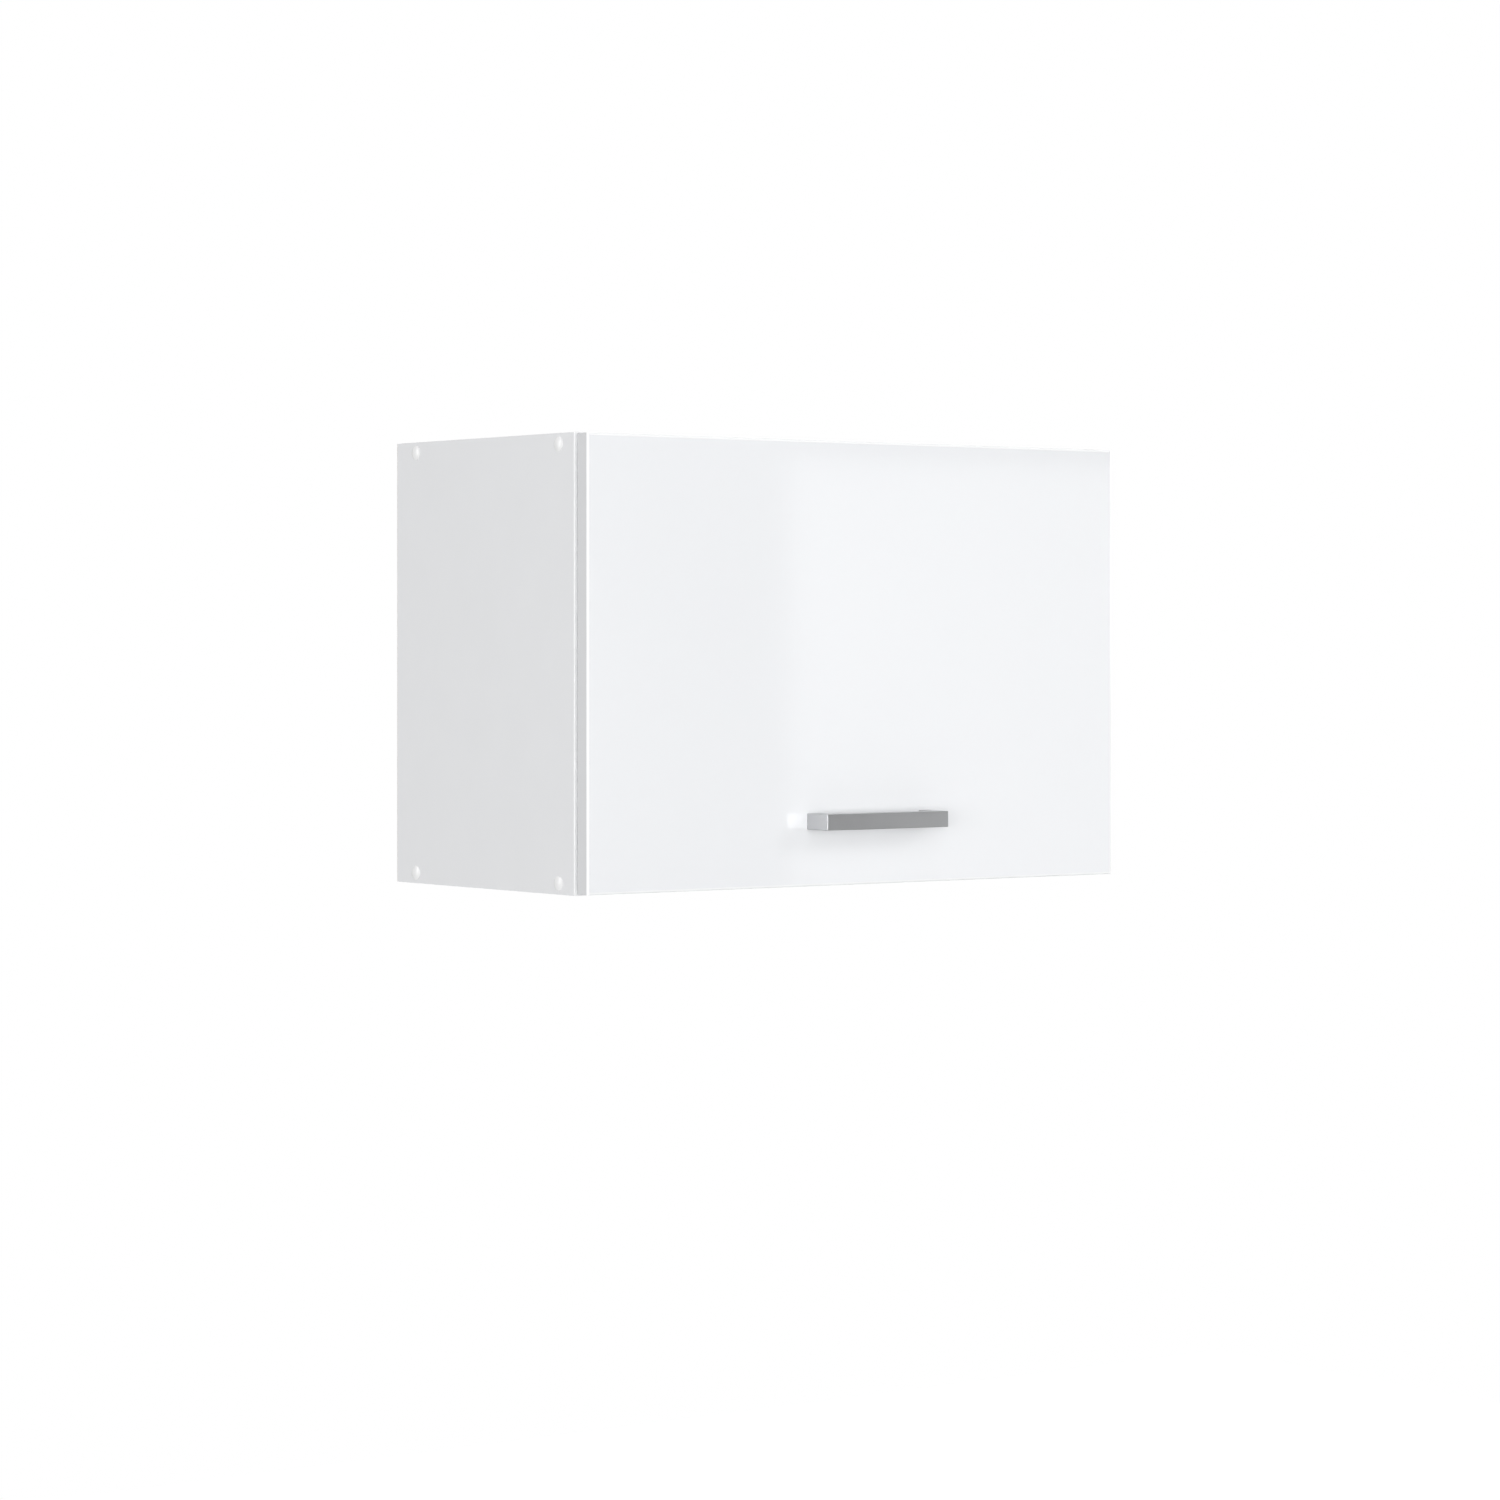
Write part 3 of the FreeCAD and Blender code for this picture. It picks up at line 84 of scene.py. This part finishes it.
class Finish:
    """A node material. Its textures use the piece's own place, in metres."""

    def __init__(self, name, colour, roughness, metallic=0.0, softening=0.0):
        self.material = bpy.data.materials.new(f"{name}_finish")
        self.material.use_nodes = True
        self.material.diffuse_color = (*colour, 1)
        self.nodes = self.material.node_tree.nodes
        self.links = self.material.node_tree.links
        self.shader = self.nodes["Principled BSDF"]
        self.place = self.nodes.new("ShaderNodeTexCoord").outputs["Object"]
        self.normal = None
        self.set("Base Color", (*colour, 1))
        self.set("Roughness", roughness)
        self.set("Metallic", metallic)
        if softening:
            bevel = self.nodes.new("ShaderNodeBevel")
            bevel.samples = BEVEL_SAMPLES
            bevel.inputs["Radius"].default_value = softening
            self.normal = bevel.outputs["Normal"]
            self.links.new(self.normal, self.shader.inputs["Normal"])

    def set(self, name, value):
        self.shader.inputs[name].default_value = value

    def stretched(self, stretch):
        mapping = self.nodes.new("ShaderNodeMapping")
        mapping.inputs["Scale"].default_value = stretch
        self.links.new(self.place, mapping.inputs["Vector"])
        return mapping.outputs["Vector"]

    def noise(self, size, detail, stretch=(1, 1, 1)):
        texture = self.nodes.new("ShaderNodeTexNoise")
        texture.inputs["Scale"].default_value = 1 / size
        texture.inputs["Detail"].default_value = detail
        self.links.new(self.stretched(stretch), texture.inputs["Vector"])
        return texture.outputs["Fac"]

    def cells(self, size, stretch):
        """Cells of one random colour each."""
        texture = self.nodes.new("ShaderNodeTexVoronoi")
        texture.inputs["Scale"].default_value = 1 / size
        self.links.new(self.stretched(stretch), texture.inputs["Vector"])
        return texture.outputs["Color"]

    def spread(self, value, low, high, start=0.3, end=0.7):
        """A number from low to high, while the value goes from start to end."""
        spread = self.nodes.new("ShaderNodeMapRange")
        ends = {"From Min": start, "From Max": end, "To Min": low, "To Max": high}
        for name, number in ends.items():
            spread.inputs[name].default_value = number
        self.links.new(value, spread.inputs["Value"])
        return spread.outputs["Result"]

    def mixed(self, share, first, second):
        """A colour between two, each a colour or the output of a node."""
        mix = self.nodes.new("ShaderNodeMix")
        mix.data_type = "RGBA"
        self.links.new(share, socket(mix.inputs, "Factor_Float"))
        for identifier, colour in (("A_Color", first), ("B_Color", second)):
            target = socket(mix.inputs, identifier)
            if isinstance(colour, tuple):
                target.default_value = (*colour, 1)
            else:
                self.links.new(colour, target)
        return socket(mix.outputs, "Result_Color")

    def blended(self, share, first, second):
        """A number between the outputs of two nodes."""
        mix = self.nodes.new("ShaderNodeMix")
        mix.data_type = "FLOAT"
        ends = {"Factor_Float": share, "A_Float": first, "B_Float": second}
        for identifier, number in ends.items():
            self.links.new(number, socket(mix.inputs, identifier))
        return socket(mix.outputs, "Result_Float")

    def behind(self, limit):
        """A mask: 1 where the piece lies nearer the wall than a limit in Y."""
        parts = self.nodes.new("ShaderNodeSeparateXYZ")
        self.links.new(self.place, parts.inputs["Vector"])
        test = self.nodes.new("ShaderNodeMath")
        test.operation = "GREATER_THAN"
        self.links.new(parts.outputs["Y"], test.inputs[0])
        test.inputs[1].default_value = limit
        return test.outputs["Value"]

    def clouds(self, first, second, size, detail=3, stretch=(1, 1, 1)):
        """Two colours in soft clouds."""
        return self.mixed(self.spread(self.noise(size, detail, stretch), 0, 1), first, second)

    def patches(self, low, high, size):
        """A number that wanders between two values in soft patches."""
        return self.spread(self.noise(size, 3), low, high)

    def colour(self, output):
        self.links.new(output, self.shader.inputs["Base Color"])

    def roughness(self, output):
        self.links.new(output, self.shader.inputs["Roughness"])

    def bump(self, height, depth):
        bump = self.nodes.new("ShaderNodeBump")
        bump.inputs["Distance"].default_value = depth
        self.links.new(height, bump.inputs["Height"])
        if self.normal:
            self.links.new(self.normal, bump.inputs["Normal"])
        self.normal = bump.outputs["Normal"]
        self.links.new(self.normal, self.shader.inputs["Normal"])

    def grain(self, size, depth, detail=2):
        """A fine relief all over."""
        self.bump(self.noise(size, detail), depth)


# How far a second finish reaches into its piece, from the face that it is on
CHIP_DEPTH = 0.2 * MM
FIBRE_DEPTH = 0.3 * MM
# Width of the painted highlight: a white stripe on the door band's rounded front edge
PAINTED_HIGHLIGHT_WIDTH = 1.8 * MM
INNER_FACE_DEPTH = 1 * MM

# Where that finish begins or ends, in Y: bare chipboard on the boards' rear ends, bare fibre on
# the back panel's rear, the edge band's white stripe of painted highlight, and the door's matt
# inner face
door_front, door_rear = (corner.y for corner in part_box("door_panel"))
CHIP_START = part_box("side_panel_left")[1].y - CHIP_DEPTH
FIBRE_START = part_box("back_panel")[1].y - FIBRE_DEPTH
PAINTED_HIGHLIGHT_END = door_front + PAINTED_HIGHLIGHT_WIDTH
INNER_FACE_START = door_rear - INNER_FACE_DEPTH

# Colours are linear red, green and blue
WHITE_BOARD = (0.785, 0.79, 0.80)
WHITE_LACQUER = (0.78, 0.785, 0.785)
CHIP_BROWN = (0.46, 0.33, 0.20)
CHIP_LIGHT = (0.66, 0.52, 0.35)
CHIP_DARK = (0.30, 0.20, 0.11)
FIBRE_DARK = (0.30, 0.20, 0.125)
FIBRE_LIGHT = (0.42, 0.30, 0.20)
GLOSS_WHITE = (0.845, 0.855, 0.87)
GLOSS_SHADE = (0.838, 0.848, 0.864)
GLOSS_IOR = 1.65
# Painted highlight: the white of the stripe along the door band's rounded front edge
PAINTED_HIGHLIGHT_WHITE = (0.9, 0.905, 0.91)
BAND_GREY = (0.68, 0.685, 0.695)
BAND_SHADE = (0.665, 0.67, 0.68)
HANDLE_GREY = (0.485, 0.49, 0.50)
BEECH_LIGHT = (0.68, 0.49, 0.31)
BEECH_MIDDLE = (0.62, 0.43, 0.26)
BEECH_DARK = (0.52, 0.34, 0.19)
RUBBER_MIDDLE = (0.8, 0.8, 0.79)
RUBBER_LIGHT = (0.82, 0.82, 0.81)
RUBBER_DARK = (0.76, 0.76, 0.75)
RUBBER_CLEARNESS = 0.4

# How far a finish's roughness wanders below and above its middle
SMOOTHER = 0.04
ROUGHER = 0.05
PLASTIC_ROUGHER = 0.06


def chipboard(finish):
    """Pressed wood chips, as on a board's bare edge."""
    chips = finish.cells(size=2.2 * MM, stretch=(1, 1, 2.4))
    tone = finish.clouds(CHIP_BROWN, CHIP_LIGHT, size=1.1 * MM, detail=4)
    grey = finish.nodes.new("ShaderNodeRGBToBW")
    finish.links.new(chips, grey.inputs["Color"])
    dark_share = finish.spread(grey.outputs["Val"], low=0, high=0.45, start=0.2, end=0.9)
    return finish.mixed(dark_share, tone, CHIP_DARK)


def melamine(name, colour, roughness):
    """Satin melamine paper on chipboard that is bare at its rear edge."""
    finish = Finish(name, colour, roughness, softening=0.25 * MM)
    face = finish.clouds(colour, shaded(colour, share=0.985), size=60 * MM)
    finish.colour(finish.mixed(finish.behind(CHIP_START), face, chipboard(finish)))
    finish.roughness(finish.patches(roughness - SMOOTHER, roughness + ROUGHER, size=9 * MM))
    finish.grain(size=0.7 * MM, depth=0.012 * MM)
    return finish.material


def back_board():
    """White lacquer on the face inside the cabinet, bare brown fibre on the rear."""
    finish = Finish("back_board", WHITE_BOARD, roughness=0.5)
    fibre = finish.clouds(FIBRE_DARK, FIBRE_LIGHT, size=1.6 * MM, detail=5, stretch=(1, 1, 0.35))
    face = finish.clouds(WHITE_BOARD, WHITE_LACQUER, size=45 * MM)
    finish.colour(finish.mixed(finish.behind(FIBRE_START), face, fibre))
    finish.roughness(finish.patches(low=0.46, high=0.6, size=12 * MM))
    finish.grain(size=0.9 * MM, depth=0.02 * MM, detail=3)
    return finish.material


def gloss_door():
    """High-gloss laminate with a faint orange peel, and satin melamine on the inner face."""
    finish = Finish("door_board", GLOSS_WHITE, roughness=0.06)
    finish.set("IOR", GLOSS_IOR)
    inner_face = finish.behind(INNER_FACE_START)
    front = finish.clouds(GLOSS_WHITE, GLOSS_SHADE, size=180 * MM, detail=2)
    finish.colour(finish.mixed(inner_face, front, WHITE_BOARD))
    gloss = finish.patches(low=0.045, high=0.075, size=25 * MM)
    satin = finish.patches(low=0.38, high=0.47, size=9 * MM)
    finish.roughness(finish.blended(inner_face, gloss, satin))
    finish.grain(size=14 * MM, depth=0.004 * MM, detail=1)
    return finish.material


def plastic(name, colour, roughness, grain=0.35 * MM, depth=0.006 * MM, softening=0.2 * MM):
    """Moulded or extruded plastic with a fine grain."""
    finish = Finish(name, colour, roughness, softening=softening)
    finish.colour(finish.clouds(colour, shaded(colour, share=0.97), size=14 * MM))
    finish.roughness(finish.patches(roughness - SMOOTHER, roughness + PLASTIC_ROUGHER, size=5 * MM))
    finish.grain(size=grain, depth=depth)
    return finish.material


def band_with_painted_highlight():
    """The door's edge band: light grey, with a painted highlight as a white stripe along the gloss
    front edge.
    """
    finish = Finish("door_band", BAND_GREY, roughness=0.2, softening=0.2 * MM)
    grey = finish.clouds(BAND_GREY, BAND_SHADE, size=30 * MM)
    # The white stripe at the front is a painted highlight of the door's rounded front edge
    finish.colour(finish.mixed(finish.behind(PAINTED_HIGHLIGHT_END), PAINTED_HIGHLIGHT_WHITE, grey))
    finish.roughness(finish.patches(low=0.15, high=0.25, size=5 * MM))
    finish.grain(size=0.6 * MM, depth=0.004 * MM)
    return finish.material


def metal(name, colour, roughness, shading=0.93, cloud=14 * MM):
    """Plated metal: the shading is how dark its faint clouds are."""
    finish = Finish(name, colour, roughness, metallic=1.0, softening=0.2 * MM)
    finish.colour(finish.clouds(colour, shaded(colour, share=shading), size=cloud, detail=4))
    finish.roughness(finish.patches(roughness - SMOOTHER, roughness + ROUGHER, size=3 * MM))
    finish.grain(size=1.2 * MM, depth=0.002 * MM)
    return finish.material


def brushed_handle():
    """Satin grey metal with fine scratches along the bar."""
    finish = Finish("handle_metal", HANDLE_GREY, roughness=0.33, metallic=1.0, softening=0.7 * MM)
    finish.colour(finish.clouds(HANDLE_GREY, shaded(HANDLE_GREY, share=0.96), size=30 * MM))
    scratches = finish.noise(size=0.3 * MM, detail=3, stretch=(0.02, 1, 1))
    finish.roughness(finish.spread(scratches, low=0.28, high=0.38))
    finish.bump(scratches, depth=0.001 * MM)
    return finish.material


def beech():
    finish = Finish("dowel_wood", BEECH_MIDDLE, roughness=0.6)
    streaks = finish.noise(size=1.2 * MM, detail=5, stretch=(0.08, 1, 1))
    finish.colour(finish.mixed(finish.spread(streaks, 0, 1), BEECH_LIGHT, BEECH_DARK))
    finish.bump(streaks, depth=0.05 * MM)
    return finish.material


def clear_bumper():
    finish = Finish("bumper_rubber", RUBBER_MIDDLE, roughness=0.35, softening=0.3 * MM)
    finish.set("Transmission Weight", RUBBER_CLEARNESS)
    finish.colour(finish.clouds(RUBBER_LIGHT, RUBBER_DARK, size=2 * MM, detail=2))
    finish.grain(size=0.8 * MM, depth=0.02 * MM)
    return finish.material


def make_finishes():
    """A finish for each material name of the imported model."""
    fittings_grain = {"grain": 0.5 * MM, "depth": 0.02 * MM}
    return {
        "carcass_board": melamine("carcass_board", WHITE_BOARD, roughness=0.42),
        "back_board": back_board(),
        # The carcass band is a white band, made whiter than the boards as painted light so that its
        # front edge looks lit in the door's shade
        "carcass_band": plastic("carcass_band", (0.91, 0.915, 0.92), roughness=0.3,
                                softening=0.4 * MM),
        "door_board": gloss_door(),
        "door_band": band_with_painted_highlight(),
        "handle_metal": brushed_handle(),
        "cap_plastic": plastic("cap_plastic", (0.88, 0.88, 0.88), roughness=0.16),
        "dowel_wood": beech(),
        "bumper_rubber": clear_bumper(),
        "spring_steel": metal("spring_steel", (0.32, 0.32, 0.33), roughness=0.35),
        "stay_plastic": plastic("stay_plastic", (0.60, 0.61, 0.62), roughness=0.4,
                                **fittings_grain),
        "hanger_plastic": plastic("hanger_plastic", (0.80, 0.80, 0.79), roughness=0.4,
                                  **fittings_grain),
        "plate_steel": metal("plate_steel", (0.60, 0.61, 0.63), roughness=0.4,
                             shading=0.86, cloud=6 * MM),
        "screw_steel": metal("screw_steel", (0.66, 0.66, 0.65), roughness=0.3),
        "hinge_steel": metal("hinge_steel", (0.66, 0.655, 0.64), roughness=0.26),
    }


def dress_nodes(finishes):
    for item in nodes.values():
        for place in item.material_slots:
            place.material = finishes[place.material.name]


# The screw covers: thin rims with domed faces, where the CAD model has level ones

COVER_RADIUS = 6.6 * MM
COVER_RIM = 0.5 * MM
COVER_SPLIT = 48
COVER_RINGS = 9
COVER_CREASE = 40


def middle_level(node):
    low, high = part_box(node)
    return (low.z + high.z) / 2


# They stand on the side panels, at the middle of the top and bottom panels' thickness
caps_low, caps_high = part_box("screw_cover_caps")
SIDE_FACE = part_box("side_panel_right")[1].x
COVER_HEIGHT = caps_high.x - SIDE_FACE
COVER_DEPTHS = (caps_high.y - COVER_RADIUS, caps_low.y + COVER_RADIUS)
COVER_LEVELS = (middle_level("bottom_panel"), middle_level("top_panel"))


def cover_profile():
    """The radius and height of each ring, from the rim's foot to the last one before the top."""
    rise = COVER_HEIGHT - COVER_RIM
    curve = (COVER_RADIUS ** 2 + rise ** 2) / (2 * rise)
    opening = math.asin(COVER_RADIUS / curve)
    profile = [(COVER_RADIUS, 0)]
    for step in range(COVER_RINGS):
        angle = opening * (1 - step / COVER_RINGS)
        profile.append((curve * math.sin(angle), COVER_HEIGHT - curve * (1 - math.cos(angle))))
    return profile


def add_cover(points, faces, side, depth, level):
    """One closed domed cover, its foot on a side panel's outer face."""
    first = len(points)
    profile = cover_profile()
    for radius, height in profile:
        for step in range(COVER_SPLIT):
            angle = side * math.tau * step / COVER_SPLIT
            points.append((side * (SIDE_FACE + height), depth + radius * math.cos(angle),
                           level + radius * math.sin(angle)))
    top = len(points)
    points.append((side * (SIDE_FACE + COVER_HEIGHT), depth, level))
    faces.append([first + step for step in reversed(range(COVER_SPLIT))])
    for step in range(COVER_SPLIT):
        after = (step + 1) % COVER_SPLIT
        for ring in range(len(profile) - 1):
            here = first + ring * COVER_SPLIT
            above = here + COVER_SPLIT
            faces.append((here + step, here + after, above + after, above + step))
        last = first + (len(profile) - 1) * COVER_SPLIT
        faces.append((last + step, last + after, top))


def make_covers(finishes):
    points = []
    faces = []
    for side in (-1, 1):
        for depth in COVER_DEPTHS:
            for level in COVER_LEVELS:
                add_cover(points, faces, side, depth, level)
    mesh = bpy.data.meshes.new("domed_covers")
    mesh.from_pydata(points, [], faces)
    mesh.shade_smooth()
    mesh.set_sharp_from_angle(angle=math.radians(COVER_CREASE))
    mesh.materials.append(finishes["cap_plastic"])
    covers = bpy.data.objects.new("domed_covers", mesh)
    bpy.context.scene.collection.objects.link(covers)
    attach(covers, "cabinet")
    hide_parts("screw_cover_caps")


# Floor, world and lights. The floor's glow and the seen world make the background white in
# the picture and in reflections, and don't light the object.

FLOOR_HEIGHT = -2.8
FLOOR_HALF = 9.0
FLOOR_GLOW = 0.77
FLOOR_GREY = 0.62
FLOOR_ROUGHNESS = 0.9
WORLD_LIGHT = 0.375
WORLD_TINT = (0.985, 0.99, 1.0)
WORLD_SEEN = 1.0
WHITE = (1, 1, 1)
OBJECT_CENTRE = (0, -0.15, -0.135)

# Each light's name, place, size and power
LIGHTS = (
    ("key_light", (-1.7, -3.9, 1.7), (1.6, 1.6), 19),
    ("front_light", (1.1, -5.0, -0.1), (2.6, 0.8), 35),
    ("fill_light", (3.0, -3.3, 1.7), (1.2, 1.2), 29),
    ("camera_light", (-3.66, -4.17, -0.1), (4.8, 1.8), 151),
    ("left_light", (-3.55, 1.7, 0.3), (1.0, 1.8), 22.5),
    ("top_light", (0, -0.2, 3.0), (2.4, 2.4), 30),
    ("right_light", (3.6, 1.2, 0.8), (2.0, 2.0), 44),
    ("rear_light", (1.4, 3.8, 1.2), (2.2, 2.2), 41),
)

# Upright and level cards that darken part of what the gloss and the handle reflect
CARD_FRONT = -2.5
CARD_LEFT = -1.0
CARD_SIDE = 1.586
CARD_RIGHT = 4.0
CARD_LOW = -1.6
CARD_STEP = 0.162
CARD_HIGH = 2.2
CARD_SHADE = 0.09
LOW_CARD_HEIGHT = -1.2
LOW_CARD_REACH = 1.6
LOW_CARD_SHADE = 0.3


def add_seen_share(tree):
    """1 for camera, glossy and transmission rays, 0 for the rays that light the object."""
    path = tree.nodes.new("ShaderNodeLightPath")
    share = path.outputs["Is Camera Ray"]
    for name in ("Is Glossy Ray", "Is Transmission Ray"):
        greater = tree.nodes.new("ShaderNodeMath")
        greater.operation = "MAXIMUM"
        tree.links.new(share, greater.inputs[0])
        tree.links.new(path.outputs[name], greater.inputs[1])
        share = greater.outputs["Value"]
    return share


def make_floor():
    mesh = bpy.data.meshes.new("floor")
    half = FLOOR_HALF
    corners = [(-half, -half, 0), (half, -half, 0), (half, half, 0), (-half, half, 0)]
    mesh.from_pydata(corners, [], [(0, 1, 2, 3)])
    floor = bpy.data.objects.new("floor", mesh)
    floor.location.z = FLOOR_HEIGHT
    bpy.context.scene.collection.objects.link(floor)
    material = bpy.data.materials.new("floor_white")
    material.use_nodes = True
    tree = material.node_tree
    surface = tree.nodes["Principled BSDF"]
    surface.inputs["Base Color"].default_value = (FLOOR_GREY, FLOOR_GREY, FLOOR_GREY, 1)
    surface.inputs["Roughness"].default_value = FLOOR_ROUGHNESS
    glow = tree.nodes.new("ShaderNodeEmission")
    glow.inputs["Strength"].default_value = FLOOR_GLOW
    dark = tree.nodes.new("ShaderNodeEmission")
    dark.inputs["Strength"].default_value = 0
    chosen = tree.nodes.new("ShaderNodeMixShader")
    both = tree.nodes.new("ShaderNodeAddShader")
    tree.links.new(add_seen_share(tree), chosen.inputs["Fac"])
    tree.links.new(dark.outputs["Emission"], chosen.inputs[1])
    tree.links.new(glow.outputs["Emission"], chosen.inputs[2])
    tree.links.new(surface.outputs["BSDF"], both.inputs[0])
    tree.links.new(chosen.outputs["Shader"], both.inputs[1])
    tree.links.new(both.outputs["Shader"], tree.nodes["Material Output"].inputs["Surface"])
    mesh.materials.append(material)


def make_world():
    world = bpy.data.worlds.new("world")
    world.use_nodes = True
    bpy.context.scene.world = world
    tree = world.node_tree
    light = tree.nodes["Background"]
    light.inputs["Color"].default_value = (*WORLD_TINT, 1)
    light.inputs["Strength"].default_value = WORLD_LIGHT
    view = tree.nodes.new("ShaderNodeBackground")
    view.inputs["Color"].default_value = (*WHITE, 1)
    view.inputs["Strength"].default_value = WORLD_SEEN
    mix = tree.nodes.new("ShaderNodeMixShader")
    tree.links.new(add_seen_share(tree), mix.inputs["Fac"])
    tree.links.new(light.outputs["Background"], mix.inputs[1])
    tree.links.new(view.outputs["Background"], mix.inputs[2])
    tree.links.new(mix.outputs["Shader"], tree.nodes["World Output"].inputs["Surface"])


def make_softbox(name, place, size, power):
    data = bpy.data.lights.new(name, "AREA")
    data.shape = "RECTANGLE"
    data.size, data.size_y = size
    data.energy = power
    lamp = bpy.data.objects.new(name, data)
    lamp.location = place
    aim = Vector(OBJECT_CENTRE) - Vector(place)
    lamp.rotation_euler = aim.to_track_quat("-Z", "Y").to_euler()
    lamp.visible_camera = False
    bpy.context.scene.collection.objects.link(lamp)


def make_card(name, low, high, shade):
    """A plain card between two corners that only mirrors see."""
    mesh = bpy.data.meshes.new(name)
    if low[2] == high[2]:
        corners = [low, (high[0], low[1], low[2]), high, (low[0], high[1], low[2])]
    else:
        corners = [low, (high[0], high[1], low[2]), high, (low[0], low[1], high[2])]
    mesh.from_pydata(corners, [], [(0, 1, 2, 3)])
    card = bpy.data.objects.new(name, mesh)
    bpy.context.scene.collection.objects.link(card)
    material = bpy.data.materials.new(f"{name}_grey")
    material.use_nodes = True
    tree = material.node_tree
    glow = tree.nodes.new("ShaderNodeEmission")
    glow.inputs["Strength"].default_value = shade
    tree.links.new(glow.outputs["Emission"], tree.nodes["Material Output"].inputs["Surface"])
    mesh.materials.append(material)
    card.visible_camera = False
    card.visible_diffuse = False
    card.visible_shadow = False
    card.visible_transmission = False


def make_lights():
    for name, place, size, power in LIGHTS:
        make_softbox(name, place, size, power)
    make_card("side_card", (CARD_LEFT, CARD_FRONT, CARD_LOW),
              (CARD_SIDE, CARD_FRONT, CARD_STEP), CARD_SHADE)
    make_card("top_card", (CARD_LEFT, CARD_FRONT, CARD_STEP),
              (CARD_RIGHT, CARD_FRONT, CARD_HIGH), CARD_SHADE)
    make_card("low_card", (-LOW_CARD_REACH, -LOW_CARD_REACH, LOW_CARD_HEIGHT),
              (LOW_CARD_REACH, 0, LOW_CARD_HEIGHT), LOW_CARD_SHADE)


bpy.context.scene.view_settings.view_transform = "Standard"
make_camera()
cabinet_finishes = make_finishes()
dress_nodes(cabinet_finishes)
make_covers(cabinet_finishes)
make_world()
make_floor()
make_lights()
